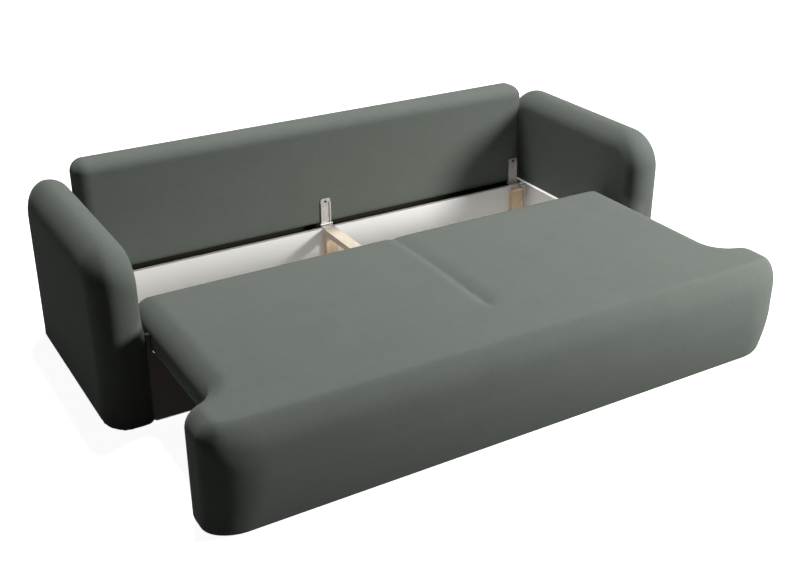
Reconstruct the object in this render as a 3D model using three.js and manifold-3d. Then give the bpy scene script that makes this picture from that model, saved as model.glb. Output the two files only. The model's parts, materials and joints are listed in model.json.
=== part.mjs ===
import * as THREE from 'three';
import { mergeVertices } from 'three/addons/utils/BufferGeometryUtils.js';
import Module from 'manifold-3d';

// A sleeper sofa, in millimetres: X to the right, Y to the rear and Z up.
// Inside the sofa group Y is 0 at the fronts of the arms. The seat is rolled out,
// the storage box behind it is open and the backrest stands upright.

// Overall sizes
const ROOM_WIDTH = 2056;      // clear width between the arms
const SEAT_TOP = 393;         // edge of the sleeping surface above the floor
const RIM_HEIGHT = 240;       // top of the storage box
const FLOOR_GAP = 10;         // underside of the covers and the box above the floor
const SEAT_TRAVEL = 476;      // how far the seat is rolled out
const BOARD = 16;             // thickness of the box and frame boards
const FIT = 0.3;              // gap between pieces that are let into one another
const OVERRUN = 5;            // how far a cutting shape runs past what it cuts
const EDGE_EASE = 2;          // smallest rounding of an upholstered edge

// Arms
const ARM_THICKNESS = 150;
const ARM_OUTER_ROUND = 72;   // edges round the outer face
const ARM_INNER_ROUND = 56;
const ARM_DEPTH = 906;
const ARM_LEAN = 12;          // how far the outer face leans in at the top
const ARM_HEIGHT = 648;
const ARM_FRONT_ROUND = 145;  // corner seen from the side
const ARM_REAR_ROUND = 165;
const ARM_FOOT_ROUND = 3;
const ARM_OUTER_CROWN = 4;    // swell of the outer face
const ARM_INNER_CROWN = 4;
const ARM_CROWN_INSET = 110;  // where the swell of an arm's face levels out
const ARM_CROWN_SHARE = 0.8;  // part of the swell that is reached there
const ARM_FRAME_THICKNESS = 44;
const ARM_FRAME_INSET = 60;   // padding over the front, rear and top of the frame

// Storage box
const BOX_SIDE_GAP = 6;       // between the box and an arm
const FRONT_BOARD_SETBACK = 24;
const FRONT_BOARD_OVERHANG = 7; // past the side panels, into the hollow of the arm's edge
const EAR_HEIGHT = 100;       // ends of the front board above the rim, beside the seat
const EAR_PLAY = 3;           // between the seat and these ends
const EAR_SIDE_PLAY = 15;   // room for the seat's padding to bulge between them
const BOX_REAR = 714;         // front face of the white rear panel
const BOX_TAIL = 144;         // how far the side panels run on behind that face
const BOX_FLOOR_THICKNESS = 4;
const BEAM_WIDTH = 54;
const BEAM_THICKNESS = 25;
const CORNER_POST_GAP = 29;   // between a corner post and the side panel
const CORNER_POST_WIDTH = 53;
const CORNER_POST_DROP = 19;  // top of a corner post below the rim
const REAR_RAIL_DEPTH = 60;
const REAR_RAIL_HEIGHT = 50;
const REAR_COVER_THICKNESS = 28;

// Backrest
const BACK_SIDE_GAP = 24;     // between the backrest and an arm
const BACK_THICKNESS = 140;
const BACK_TOP = 686;
const BACK_BOTTOM_GAP = 11;   // between the rim and the underside of the backrest
const BACK_ROUND = 52;        // top and end edges
const BACK_BOTTOM_ROUND = 12;
const BACK_FRONT_CROWN = 5;
const BACK_REAR_CROWN = 4;
const BACK_FRONT_PADDING = 25;
const BACK_EDGE_PADDING = 50;

// Hinges between the box and the backrest
const HINGE_WIDTH = 52;
const HINGE_OVERHANG = 4;    // end hinge past the outer face of the corner post
const HINGE_PLATE = 3;
const HINGE_SETBACK = 10;     // pin behind the rear panel
const PIN_RADIUS = 2.5;
const PIN_PLAY = 0.3;
const PIN_HEAD_RADIUS = 4.5;
const PIN_HEAD = 2;
const BARREL_WALL = 1.6;
const LUG_MARGIN = 1.8;       // lug around the barrel's radius
const LEAF_STANDOFF = 5;      // backrest face behind the pin
const LEAF_PLATE = 2.5;
const LEAF_LENGTH = 112;
const LEAF_ROUND = 9;
const LEAF_LIP = 4;
const LEAF_LIP_WALL = 6;
const LEAF_LIP_DROP = 17;     // top of the lips below the top of the leaf
const LEAF_HOLE_DROP = 13;    // hole below the top of the leaf
const LEAF_HOLE_RADIUS = 3.2;
const SIDE_PLATE_LENGTH = 68; // end brackets, down the post
const SIDE_PLATE_DEPTH = 46;
const SCREW_RADIUS = 2.6;
const SCREW_HEAD_RADIUS = 5;
const SCREW_HEAD = 2.4;
const SCREW_BITE = 12;        // length of a screw in its board

// Seat
const SEAT_SIDE_GAP = 30;     // between the seat and an arm
const SEAT_DEPTH = 724;       // from the back of the bumper to the rear edge
const SEAT_BOTTOM_GAP = 7;    // seat upholstery above the rim
const SEAT_ROUND = 44;
const SEAT_BOTTOM_ROUND = 16;
const SEAT_SIDE_DRAW = 25;    // how far the sides are drawn in at the bottom
const SEAT_SIDE_DRAW_HEIGHT = 55;
const SEAT_CROWN = 7;
const SEAM_DEPTH = 11;        // channel down the middle of the seat
const SEAM_WIDTH = 24;
const SEAM_LENGTH = 690;
const SEAT_FRAME_INSET = 52;  // padding over the sides and the rear of the frame
const SEAT_RAIL = 45;
const SEAT_DECK = 6;
const GLIDE_PAD = 3;

// Bumper, the upholstered front that rolls out with the seat
const BUMPER_GAP = 10;        // ahead of the arms when the seat is rolled in
const BUMPER_HALF = 1117;     // half its width
const BUMPER_DEPTH = 258;
const BUMPER_TUCK = 57;       // how far the front runs back at its lower edge
const BUMPER_BULGE_HEIGHT = 240; // height of the foremost line
const BUMPER_TOP_ROUND = 130;
const BUMPER_END_ROUND = 50;
const BUMPER_FRONT_CORNER = 110;
const BUMPER_REAR_CORNER = 38;
const BUMPER_FOOT_ROUND = 12;
const WING_STEP = 14;         // quick set-back beside the seat
const WING_STEP_WIDTH = 24;
const WING_SLOPE = 6;        // further set-back towards the end of the wing
const WING_REAR_ROUND = 34;
const BUMPER_PADDING = 75;    // foam over the front board
const BUMPER_FRAME_BOTTOM = 60;

// Wheels and glides
const WHEEL_RADIUS = 22;
const WHEEL_WIDTH = 16;
const WHEEL_EASE = 2;
const WHEEL_HUB_RADIUS = 8;
const WHEEL_HUB_SIDE = 1.5;
const AXLE_RADIUS = 3;
const FORK_PLATE = 3;
const FORK_LENGTH = 46;
const FORK_WIDTH = 44;
const WHEEL_CENTRES_SHARE = [-0.86, -0.3, 0.3, 0.86];
const GLIDE_RADIUS = 19;
const GLIDE_EASE = 3;
const GLIDE_INSET = 70;       // from the ends of an arm's frame

// Bolts between the arms and the box
const BOLT_RADIUS = 4;
const BOLT_HEAD_RADIUS = 9;
const BOLT_HEAD = 5;
const BOLT_BITE = 22;
const BOLT_HEIGHT = 75;
const BOLT_PLACES_SHARE = [0.2, 0.85];

// Fineness of the curved forms
const ARC_STEPS = 4;
const END_STEPS = 5;
const ROUND_SIDES = 20;

// Places that several pieces share
const ROOM = ROOM_WIDTH / 2;
const BOX_OUTER = ROOM - BOX_SIDE_GAP;
const BOX_BACK = BOX_REAR + BOX_TAIL;
const BOX_INNER = BOX_OUTER - BOARD;
const CORNER_POST_OUTER = BOX_INNER - CORNER_POST_GAP;
const HINGE_CENTRE = CORNER_POST_OUTER + HINGE_OVERHANG - HINGE_WIDTH / 2;
const BOARD_TOP = RIM_HEIGHT - GLIDE_PAD;
const PANEL_BOTTOM = FLOOR_GAP + BOX_FLOOR_THICKNESS;
const FRONT_BOARD_REAR = FRONT_BOARD_SETBACK + BOARD;
const BARREL_RADIUS = PIN_RADIUS + PIN_PLAY + BARREL_WALL;
const LUG_RADIUS = BARREL_RADIUS + LUG_MARGIN;
const FLANGE_TOP = RIM_HEIGHT + HINGE_PLATE;
const PIN_Y = BOX_REAR + BOARD + HINGE_SETBACK;
const PIN_Z = FLANGE_TOP + FIT + BARREL_RADIUS;
const BACK_FACE = PIN_Y + LEAF_STANDOFF;
const BACK_REAR = BACK_FACE + BACK_THICKNESS;
const BACK_HALF = ROOM - BACK_SIDE_GAP;
const BACK_BOTTOM = RIM_HEIGHT + BACK_BOTTOM_GAP;
const BACK_BOARD_FRONT = BACK_FACE + BACK_FRONT_PADDING;
const SEAT_HALF = ROOM - SEAT_SIDE_GAP;
const SEAT_BOTTOM = RIM_HEIGHT + SEAT_BOTTOM_GAP;
const RAIL_BOTTOM = RIM_HEIGHT + GLIDE_PAD + FIT;
const RAIL_TOP = RAIL_BOTTOM + SEAT_RAIL;
const DECK_TOP = RAIL_TOP + SEAT_DECK;
const FRAME_HALF = SEAT_HALF - SEAT_FRAME_INSET;
const FRAME_REAR = SEAT_DEPTH - SEAT_FRAME_INSET;
const SEAT_HOME = -BUMPER_GAP - SEAT_TRAVEL;
const BUMPER_BOARD_FRONT = BUMPER_PADDING - BUMPER_DEPTH;
const BUMPER_BOARD_REAR = BUMPER_BOARD_FRONT + BOARD;
const BUMPER_BOX_REAR = -FIT;
const SOFA_FRONT = SEAT_HOME - BUMPER_DEPTH;

const wasm = await Module();
wasm.setup();

// Materials
function finish(color, roughness, metalness = 0) {
  return new THREE.MeshStandardMaterial({ color, roughness, metalness });
}

const FABRIC = () => finish(0x6f776f, 0.95);
const LAMINATE = () => finish(0xe6e4e0, 0.45);
const DARK_BOARD = () => finish(0x241a14, 0.6);
const PINE = () => finish(0xcdb68c, 0.7);
const CHIPBOARD = () => finish(0xb59a6d, 0.85);
const STEEL = () => finish(0xb7b2ac, 0.4, 0.85);
const DARK_STEEL = () => finish(0x3c3a38, 0.45, 0.8);
const NYLON = () => finish(0xd9d6cf, 0.5);
const BLACK_PLASTIC = () => finish(0x1b1b1b, 0.5);

// Solids
function solidOf(geometry) {
  const bare = geometry.clone();
  bare.deleteAttribute('normal');
  bare.deleteAttribute('uv');
  const merged = mergeVertices(bare);
  const vertProperties = new Float32Array(merged.attributes.position.array);
  const triVerts = new Uint32Array(merged.index.array);
  return new wasm.Manifold(new wasm.Mesh({ numProp: 3, vertProperties, triVerts }));
}

function geometryOf(solid) {
  const mesh = solid.getMesh();
  const geometry = new THREE.BufferGeometry();
  geometry.setAttribute('position', new THREE.BufferAttribute(mesh.vertProperties, 3));
  geometry.setIndex(new THREE.BufferAttribute(mesh.triVerts, 1));
  geometry.computeVertexNormals();
  return geometry;
}

function joined(geometries) {
  const solids = geometries.map(solidOf);
  return geometryOf(solids.reduce((sum, solid) => sum.add(solid)));
}

function cut(geometry, tools) {
  const solids = tools.map(solidOf);
  return geometryOf(solids.reduce((rest, tool) => rest.subtract(tool), solidOf(geometry)));
}

// A block between two corners, each given as [x, y, z]
function block(low, high) {
  const size = high.map((value, axis) => value - low[axis]);
  const middle = high.map((value, axis) => (value + low[axis]) / 2);
  return new THREE.BoxGeometry(...size).translate(...middle);
}

// A round rod along X, Y or Z between two places on that axis; the other two
// coordinates come in the order X, Y, Z.
function rod(axis, radius, from, to, across, along) {
  const geometry = new THREE.CylinderGeometry(radius, radius, to - from, ROUND_SIDES);
  const middle = (from + to) / 2;
  if (axis === 'x') return geometry.rotateZ(-Math.PI / 2).translate(middle, across, along);
  if (axis === 'y') return geometry.translate(across, middle, along);
  return geometry.rotateX(Math.PI / 2).translate(across, along, middle);
}

// A turned piece about X: its profile is a list of [radius, x] that closes on the axis
function turnedAboutX(profile, y, z) {
  const points = profile.map(([radius, x]) => new THREE.Vector2(radius, x));
  const geometry = new THREE.LatheGeometry(points, ROUND_SIDES);
  return geometry.rotateZ(-Math.PI / 2).translate(0, y, z);
}

// How far a quarter round of this radius has dropped, past the line where it starts
function roundDrop(past, radius) {
  const inside = THREE.MathUtils.clamp(past, 0, radius);
  return radius - Math.sqrt(radius * radius - inside * inside);
}

// Places from the middle outwards on both sides: the given inner places, then
// even angles round an end of this radius
function endedPlaces(innerPlaces, half, radius) {
  const outer = [];
  for (let step = 0; step <= END_STEPS; step += 1) {
    const angle = (step / END_STEPS) * (Math.PI / 2);
    outer.push(half - radius + radius * Math.sin(angle));
  }
  const right = [...innerPlaces, ...outer];
  const left = right.filter((place) => place > 0).map((place) => -place).reverse();
  return [...left, ...right];
}

// The outline of an upright slice across Y and Z, anticlockwise seen from the right,
// with a round of its own at each corner
function slice(x, bounds, rounds, topSteps, sideSteps) {
  const { front, rear, bottom, top } = bounds;
  const corners = [
    { y: rear, z: bottom, inY: -1, inZ: 1, round: rounds.rearBottom, steps: sideSteps },
    { y: rear, z: top, inY: -1, inZ: -1, round: rounds.rearTop, steps: topSteps },
    { y: front, z: top, inY: 1, inZ: -1, round: rounds.frontTop, steps: sideSteps },
    { y: front, z: bottom, inY: 1, inZ: 1, round: rounds.frontBottom, steps: topSteps },
  ];
  const arcs = corners.map(({ y, z, inY, inZ, round }, corner) => {
    const arc = [];
    for (let step = 0; step <= ARC_STEPS; step += 1) {
      const angle = (corner - 1 + step / ARC_STEPS) * (Math.PI / 2);
      arc.push([y + round * (inY + Math.cos(angle)), z + round * (inZ + Math.sin(angle))]);
    }
    return arc;
  });
  const points = [];
  arcs.forEach((arc, corner) => {
    const last = arc[arc.length - 1];
    const next = arcs[(corner + 1) % arcs.length][0];
    const { steps } = corners[corner];
    points.push(...arc);
    for (let step = 1; step < steps; step += 1) {
      const share = step / steps;
      points.push([last[0] + (next[0] - last[0]) * share, last[1] + (next[1] - last[1]) * share]);
    }
  });
  return points.map(([y, z]) => new THREE.Vector3(x, y, z));
}

// A closed skin over slices that follow one another to the right
function skinOver(slices, swell = 0) {
  const count = slices[0].length;
  const points = slices.flat();
  const centres = [slices[0], slices[slices.length - 1]].map((ring, end) => {
    const centre = new THREE.Vector3();
    ring.forEach((point) => centre.add(point));
    centre.divideScalar(count);
    centre.x += end === 0 ? -swell : swell;
    return centre;
  });
  const firstCentre = points.length;
  const lastRing = (slices.length - 1) * count;
  points.push(...centres);
  const faces = [];
  for (let here = 0; here < count; here += 1) {
    const next = (here + 1) % count;
    for (let ring = 0; ring < slices.length - 1; ring += 1) {
      const near = ring * count;
      const far = near + count;
      faces.push(near + here, near + next, far + here);
      faces.push(near + next, far + next, far + here);
    }
    faces.push(firstCentre, next, here);
    faces.push(firstCentre + 1, lastRing + here, lastRing + next);
  }
  const geometry = new THREE.BufferGeometry().setFromPoints(points);
  geometry.setIndex(faces);
  return geometry;
}

// Moves every point of a geometry by a rule
function reshaped(geometry, rule) {
  const { position } = geometry.attributes;
  const point = new THREE.Vector3();
  for (let place = 0; place < position.count; place += 1) {
    point.fromBufferAttribute(position, place);
    rule(point);
    position.setXYZ(place, point.x, point.y, point.z);
  }
  return geometry;
}

const sofa = new THREE.Group();
const seatUnit = new THREE.Group();
const backUnit = new THREE.Group();
sofa.position.y = -(SOFA_FRONT + ARM_DEPTH) / 2;
seatUnit.position.y = SEAT_HOME;
sofa.add(seatUnit, backUnit);

function add(parent, name, geometry, material) {
  const mesh = new THREE.Mesh(geometry, material());
  mesh.name = name;
  parent.add(mesh);
}

const SIDES = [
  { name: 'left', sign: -1 },
  { name: 'right', sign: 1 },
];

// A block given for the right-hand side, or its mirror image
function sidedBlock(sign, low, high) {
  const ends = [low[0] * sign, high[0] * sign];
  return block([Math.min(...ends), low[1], low[2]], [Math.max(...ends), high[1], high[2]]);
}

function sidedRod(sign, radius, from, to, y, z) {
  const ends = [from * sign, to * sign];
  return rod('x', radius, Math.min(...ends), Math.max(...ends), y, z);
}

// Arms: a rounded cover over a frame board, on two glides
const ARM_CENTRE = ROOM + ARM_THICKNESS / 2;
const ARM_TOP_STEPS = 3;
const ARM_SIDE_STEPS = 2;
const ARM_FRAME_INNER = ARM_CENTRE - ARM_FRAME_THICKNESS / 2;
const ARM_FRAME_OUTER = ARM_CENTRE + ARM_FRAME_THICKNESS / 2;
const ARM_FRAME_REAR = ARM_DEPTH - ARM_FRAME_INSET;
const ARM_FRAME_TOP = ARM_HEIGHT - ARM_FRAME_INSET;
const BOLT_PLACES = BOLT_PLACES_SHARE.map((share) => share * BOX_REAR);

function armSlice(x, inset) {
  const bounds = {
    front: inset,
    rear: ARM_DEPTH - inset,
    bottom: FLOOR_GAP + Math.min(inset, ARM_FOOT_ROUND),
    top: ARM_HEIGHT - inset,
  };
  const rounds = {
    rearBottom: ARM_FOOT_ROUND,
    rearTop: Math.max(ARM_REAR_ROUND - inset, EDGE_EASE),
    frontTop: Math.max(ARM_FRONT_ROUND - inset, EDGE_EASE),
    frontBottom: ARM_FOOT_ROUND,
  };
  return slice(x, bounds, rounds, ARM_TOP_STEPS, ARM_SIDE_STEPS);
}

function armForm(sign) {
  const half = ARM_THICKNESS / 2;
  const centre = ARM_CENTRE * sign;
  const crowns = sign > 0 ? [ARM_INNER_CROWN, ARM_OUTER_CROWN] : [ARM_OUTER_CROWN, ARM_INNER_CROWN];
  const edges = sign > 0 ? [ARM_INNER_ROUND, ARM_OUTER_ROUND] : [ARM_OUTER_ROUND, ARM_INNER_ROUND];
  const level = edges.map((round) => round + ARM_CROWN_INSET);
  const first = [armSlice(centre - half - crowns[0] * ARM_CROWN_SHARE, level[0])];
  const last = [armSlice(centre + half + crowns[1] * ARM_CROWN_SHARE, level[1])];
  for (let step = 0; step <= END_STEPS; step += 1) {
    const angle = (step / END_STEPS) * (Math.PI / 2);
    const [left, right] = edges.map((round) => ({
      out: half - round * (1 - Math.cos(angle)),
      inset: round * (1 - Math.sin(angle)),
    }));
    first.push(armSlice(centre - left.out, left.inset));
    last.unshift(armSlice(centre + right.out, right.inset));
  }
  const form = skinOver([...first, ...last], Math.min(...crowns) * (1 - ARM_CROWN_SHARE));
  return reshaped(form, (point) => {
    const out = THREE.MathUtils.clamp((point.x * sign - ROOM) / ARM_THICKNESS, 0, 1);
    point.x -= sign * ARM_LEAN * out * (point.z - FLOOR_GAP) / (ARM_HEIGHT - FLOOR_GAP);
  });
}

function boltHole(sign, place, from, to) {
  return sidedRod(sign, BOLT_RADIUS + FIT, from, to, place, BOLT_HEIGHT);
}

for (const { name, sign } of SIDES) {
  const pocket = sidedBlock(
    sign,
    [ARM_FRAME_INNER - FIT, ARM_FRAME_INSET - FIT, -OVERRUN],
    [ARM_FRAME_OUTER + FIT, ARM_FRAME_REAR + FIT, ARM_FRAME_TOP + FIT],
  );
  const coverHoles = BOLT_PLACES.map((place) => boltHole(sign, place, ROOM - ARM_THICKNESS, ARM_CENTRE));
  add(sofa, `arm_cover_${name}`, cut(armForm(sign), [pocket, ...coverHoles]), FABRIC);

  const frame = sidedBlock(
    sign,
    [ARM_FRAME_INNER, ARM_FRAME_INSET, FLOOR_GAP],
    [ARM_FRAME_OUTER, ARM_FRAME_REAR, ARM_FRAME_TOP],
  );
  const biteEnd = ARM_FRAME_INNER + BOLT_BITE + FIT;
  const frameHoles = BOLT_PLACES.map((place) => boltHole(sign, place, ROOM - OVERRUN, biteEnd));
  add(sofa, `arm_frame_${name}`, cut(frame, frameHoles), CHIPBOARD);

  for (const [end, y] of [['front', ARM_FRAME_INSET + GLIDE_INSET], ['rear', ARM_FRAME_REAR - GLIDE_INSET]]) {
    const profile = [
      [0, 0],
      [GLIDE_RADIUS - GLIDE_EASE, 0],
      [GLIDE_RADIUS, GLIDE_EASE],
      [GLIDE_RADIUS, FLOOR_GAP],
      [0, FLOOR_GAP],
    ].map(([radius, z]) => new THREE.Vector2(radius, z));
    const glide = new THREE.LatheGeometry(profile, ROUND_SIDES).rotateX(Math.PI / 2);
    add(sofa, `glide_${name}_${end}`, glide.translate(ARM_CENTRE * sign, y, 0), BLACK_PLASTIC);
  }
}

// Bolts from inside the box through the side panels into the arm frames
BOLT_PLACES.forEach((place, order) => {
  for (const { name, sign } of SIDES) {
    const head = sidedRod(sign, BOLT_HEAD_RADIUS, BOX_INNER - BOLT_HEAD, BOX_INNER, place, BOLT_HEIGHT);
    const shank = sidedRod(
      sign, BOLT_RADIUS, BOX_INNER - BOLT_HEAD / 2, ARM_FRAME_INNER + BOLT_BITE, place, BOLT_HEIGHT,
    );
    add(sofa, `arm_bolt_${name}_${order + 1}`, joined([head, shank]), STEEL);
  }
});

// Storage box
// The front board seen from the front: its ends stand up beside the seat and follow
// the seat's drawn-in lower edge
function frontBoardForm() {
  const half = BOX_OUTER + FRONT_BOARD_OVERHANG;
  const earTop = RIM_HEIGHT + EAR_HEIGHT;
  const drawn = SEAT_HALF - SEAT_SIDE_DRAW;
  const drawnTop = SEAT_BOTTOM + SEAT_SIDE_DRAW_HEIGHT;
  const reachX = SEAT_SIDE_DRAW + EAR_SIDE_PLAY;
  const reachZ = SEAT_SIDE_DRAW_HEIGHT + EAR_PLAY;
  const outline = new THREE.Shape();
  outline.moveTo(-half, PANEL_BOTTOM);
  outline.lineTo(half, PANEL_BOTTOM);
  outline.lineTo(half, earTop);
  outline.lineTo(drawn + reachX, earTop);
  outline.absellipse(drawn, drawnTop, reachX, reachZ, 0, -Math.PI / 2, true, 0);
  outline.lineTo(drawn, BOARD_TOP);
  outline.lineTo(-drawn, BOARD_TOP);
  outline.absellipse(-drawn, drawnTop, reachX, reachZ, -Math.PI / 2, -Math.PI, true, 0);
  outline.lineTo(-drawn - reachX, earTop);
  outline.lineTo(-half, earTop);
  const options = { depth: BOARD, bevelEnabled: false, curveSegments: ARC_STEPS };
  return new THREE.ExtrudeGeometry(outline, options)
    .rotateX(Math.PI / 2)
    .translate(0, FRONT_BOARD_REAR, 0);
}

function addBox() {
  for (const { name, sign } of SIDES) {
    const panel = sidedBlock(
      sign,
      [BOX_INNER, FRONT_BOARD_REAR, PANEL_BOTTOM],
      [BOX_OUTER, BOX_BACK, RIM_HEIGHT],
    );
    const holes = BOLT_PLACES.map((place) => boltHole(sign, place, BOX_INNER - OVERRUN, BOX_OUTER + OVERRUN));
    add(sofa, `side_panel_${name}`, cut(panel, holes), LAMINATE);
  }
  add(sofa, 'front_board', frontBoardForm(), DARK_BOARD);
  add(sofa, 'rear_panel', block(
    [-BOX_INNER, BOX_REAR, PANEL_BOTTOM],
    [BOX_INNER, BOX_REAR + BOARD, RIM_HEIGHT],
  ), LAMINATE);
  add(sofa, 'box_floor', block(
    [-BOX_OUTER, FRONT_BOARD_SETBACK, FLOOR_GAP],
    [BOX_OUTER, BOX_BACK, PANEL_BOTTOM],
  ), LAMINATE);
  add(sofa, 'rear_rail', block(
    [-BOX_INNER, BOX_BACK - REAR_RAIL_DEPTH, BACK_BOTTOM - FIT - REAR_RAIL_HEIGHT],
    [BOX_INNER, BOX_BACK, BACK_BOTTOM - FIT],
  ), DARK_BOARD);
  add(sofa, 'rear_cover', block(
    [-BOX_OUTER, BOX_BACK, FLOOR_GAP],
    [BOX_OUTER, BOX_BACK + REAR_COVER_THICKNESS, BACK_BOTTOM - FIT],
  ), FABRIC);
}
addBox();

// Pine beam down the middle of the box, on two posts, and a post at each rear corner
const BEAM_HALF = BEAM_WIDTH / 2;
const BEAM_BOTTOM = RIM_HEIGHT - BEAM_THICKNESS;
const POST_FRONT = BOX_REAR - BEAM_THICKNESS;
const CORNER_POST_TOP = RIM_HEIGHT - CORNER_POST_DROP;

function addPineFrame() {
  add(sofa, 'centre_beam', block(
    [-BEAM_HALF, FRONT_BOARD_REAR, BEAM_BOTTOM],
    [BEAM_HALF, BOX_REAR, RIM_HEIGHT],
  ), PINE);
  add(sofa, 'centre_post_front', block(
    [-BEAM_HALF, FRONT_BOARD_REAR, PANEL_BOTTOM],
    [BEAM_HALF, FRONT_BOARD_REAR + BEAM_THICKNESS, BEAM_BOTTOM],
  ), PINE);
  add(sofa, 'centre_post_rear', block(
    [-BEAM_HALF, POST_FRONT, PANEL_BOTTOM],
    [BEAM_HALF, BOX_REAR, BEAM_BOTTOM],
  ), PINE);
  for (const { name, sign } of SIDES) {
    add(sofa, `corner_post_${name}`, sidedBlock(
      sign,
      [CORNER_POST_OUTER - CORNER_POST_WIDTH, POST_FRONT, PANEL_BOTTOM],
      [CORNER_POST_OUTER, BOX_REAR, CORNER_POST_TOP],
    ), PINE);
  }
}
addPineFrame();

// Hinges: a bracket on the box, a pin, and a leaf that is screwed to the backrest
const HINGE_HALF = HINGE_WIDTH / 2;
const LUG_INNER = HINGE_HALF - HINGE_PLATE;
const FLANGE_FRONT = BOX_REAR - HINGE_PLATE;
const LEAF_TOP = PIN_Z + LEAF_LENGTH;
const LEAF_BACK = BACK_FACE - FIT;
const LEAF_FRONT = LEAF_BACK - LEAF_PLATE;
const SCREW_Z = LEAF_TOP - LEAF_HOLE_DROP;
const SCREW_END = BACK_BOARD_FRONT + SCREW_BITE;
const HINGES = [
  { name: 'left', centre: -HINGE_CENTRE, postSide: -1 },
  { name: 'centre', centre: 0, postSide: 0 },
  { name: 'right', centre: HINGE_CENTRE, postSide: 1 },
];

function lug(from, to) {
  const eye = rod('x', LUG_RADIUS, from, to, PIN_Y, PIN_Z);
  const foot = block([from, PIN_Y - LUG_RADIUS, RIM_HEIGHT], [to, PIN_Y + LUG_RADIUS, PIN_Z]);
  return joined([eye, foot]);
}

// The end brackets also have a plate down to the post and one along its side
function postPlates(centre, postSide) {
  const front = block(
    [centre - HINGE_HALF, FLANGE_FRONT, CORNER_POST_TOP],
    [centre + HINGE_HALF, BOX_REAR, FLANGE_TOP],
  );
  const side = sidedBlock(
    postSide,
    [CORNER_POST_OUTER, BOX_REAR - SIDE_PLATE_DEPTH, RIM_HEIGHT - SIDE_PLATE_LENGTH],
    [CORNER_POST_OUTER + HINGE_PLATE, BOX_REAR, FLANGE_TOP],
  );
  return [front, side];
}

function bracketForm({ centre, postSide }) {
  const flange = block(
    [centre - HINGE_HALF, FLANGE_FRONT, RIM_HEIGHT],
    [centre + HINGE_HALF, PIN_Y + LUG_RADIUS, FLANGE_TOP],
  );
  const lugs = [
    lug(centre - HINGE_HALF, centre - LUG_INNER),
    lug(centre + LUG_INNER, centre + HINGE_HALF),
  ];
  const plates = postSide === 0 ? [] : postPlates(centre, postSide);
  const bore = rod(
    'x', PIN_RADIUS + PIN_PLAY, centre - HINGE_HALF - OVERRUN, centre + HINGE_HALF + OVERRUN, PIN_Y, PIN_Z,
  );
  return cut(joined([flange, ...lugs, ...plates]), [bore]);
}

function pinForm({ centre }) {
  const half = HINGE_HALF + FIT;
  const profile = [
    [0, centre - half - PIN_HEAD],
    [PIN_HEAD_RADIUS, centre - half - PIN_HEAD],
    [PIN_HEAD_RADIUS, centre - half],
    [PIN_RADIUS, centre - half],
    [PIN_RADIUS, centre + half + PIN_HEAD],
    [0, centre + half + PIN_HEAD],
  ];
  return turnedAboutX(profile, PIN_Y, PIN_Z);
}

// The leaf seen from the front, with round top corners and its screw hole
function leafPlate(centre) {
  const outline = new THREE.Shape();
  const left = centre - HINGE_HALF + HINGE_PLATE + FIT;
  const right = centre + HINGE_HALF - HINGE_PLATE - FIT;
  outline.moveTo(left, PIN_Z);
  outline.lineTo(right, PIN_Z);
  outline.lineTo(right, LEAF_TOP - LEAF_ROUND);
  outline.absarc(right - LEAF_ROUND, LEAF_TOP - LEAF_ROUND, LEAF_ROUND, 0, Math.PI / 2);
  outline.absarc(left + LEAF_ROUND, LEAF_TOP - LEAF_ROUND, LEAF_ROUND, Math.PI / 2, Math.PI);
  const hole = new THREE.Path();
  hole.absarc(centre, SCREW_Z, LEAF_HOLE_RADIUS, 0, 2 * Math.PI);
  outline.holes.push(hole);
  const options = { depth: LEAF_PLATE, bevelEnabled: false, curveSegments: ARC_STEPS };
  return new THREE.ExtrudeGeometry(outline, options).rotateX(Math.PI / 2).translate(0, LEAF_BACK, 0);
}

function leafForm({ centre }) {
  const half = HINGE_HALF - HINGE_PLATE - FIT;
  const lipTop = LEAF_TOP - LEAF_LIP_DROP;
  const lips = [
    block([centre - half, LEAF_FRONT - LEAF_LIP, PIN_Z], [centre - half + LEAF_LIP_WALL, LEAF_BACK, lipTop]),
    block([centre + half - LEAF_LIP_WALL, LEAF_FRONT - LEAF_LIP, PIN_Z], [centre + half, LEAF_BACK, lipTop]),
  ];
  const barrel = rod('x', BARREL_RADIUS, centre - half, centre + half, PIN_Y, PIN_Z);
  const web = block([centre - half, PIN_Y, PIN_Z], [centre + half, LEAF_BACK, PIN_Z + BARREL_RADIUS]);
  const boreHalf = half + OVERRUN;
  const bore = rod('x', PIN_RADIUS + PIN_PLAY, centre - boreHalf, centre + boreHalf, PIN_Y, PIN_Z);
  return cut(joined([leafPlate(centre), ...lips, barrel, web]), [bore]);
}

function screwForm({ centre }) {
  const head = rod('y', SCREW_HEAD_RADIUS, LEAF_FRONT - SCREW_HEAD, LEAF_FRONT, centre, SCREW_Z);
  const shank = rod('y', SCREW_RADIUS, LEAF_FRONT - SCREW_HEAD / 2, SCREW_END, centre, SCREW_Z);
  return joined([head, shank]);
}

for (const hinge of HINGES) {
  add(sofa, `hinge_bracket_${hinge.name}`, bracketForm(hinge), STEEL);
  add(sofa, `hinge_pin_${hinge.name}`, pinForm(hinge), STEEL);
  add(backUnit, `hinge_leaf_${hinge.name}`, leafForm(hinge), STEEL);
  add(backUnit, `leaf_screw_${hinge.name}`, screwForm(hinge), DARK_STEEL);
}

// Backrest: a rounded cushion over a board
const BACK_TOP_STEPS = 2;
const BACK_SIDE_STEPS = 5;
const BACK_MIDDLES_SHARE = [0, 0.35, 0.7];

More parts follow.
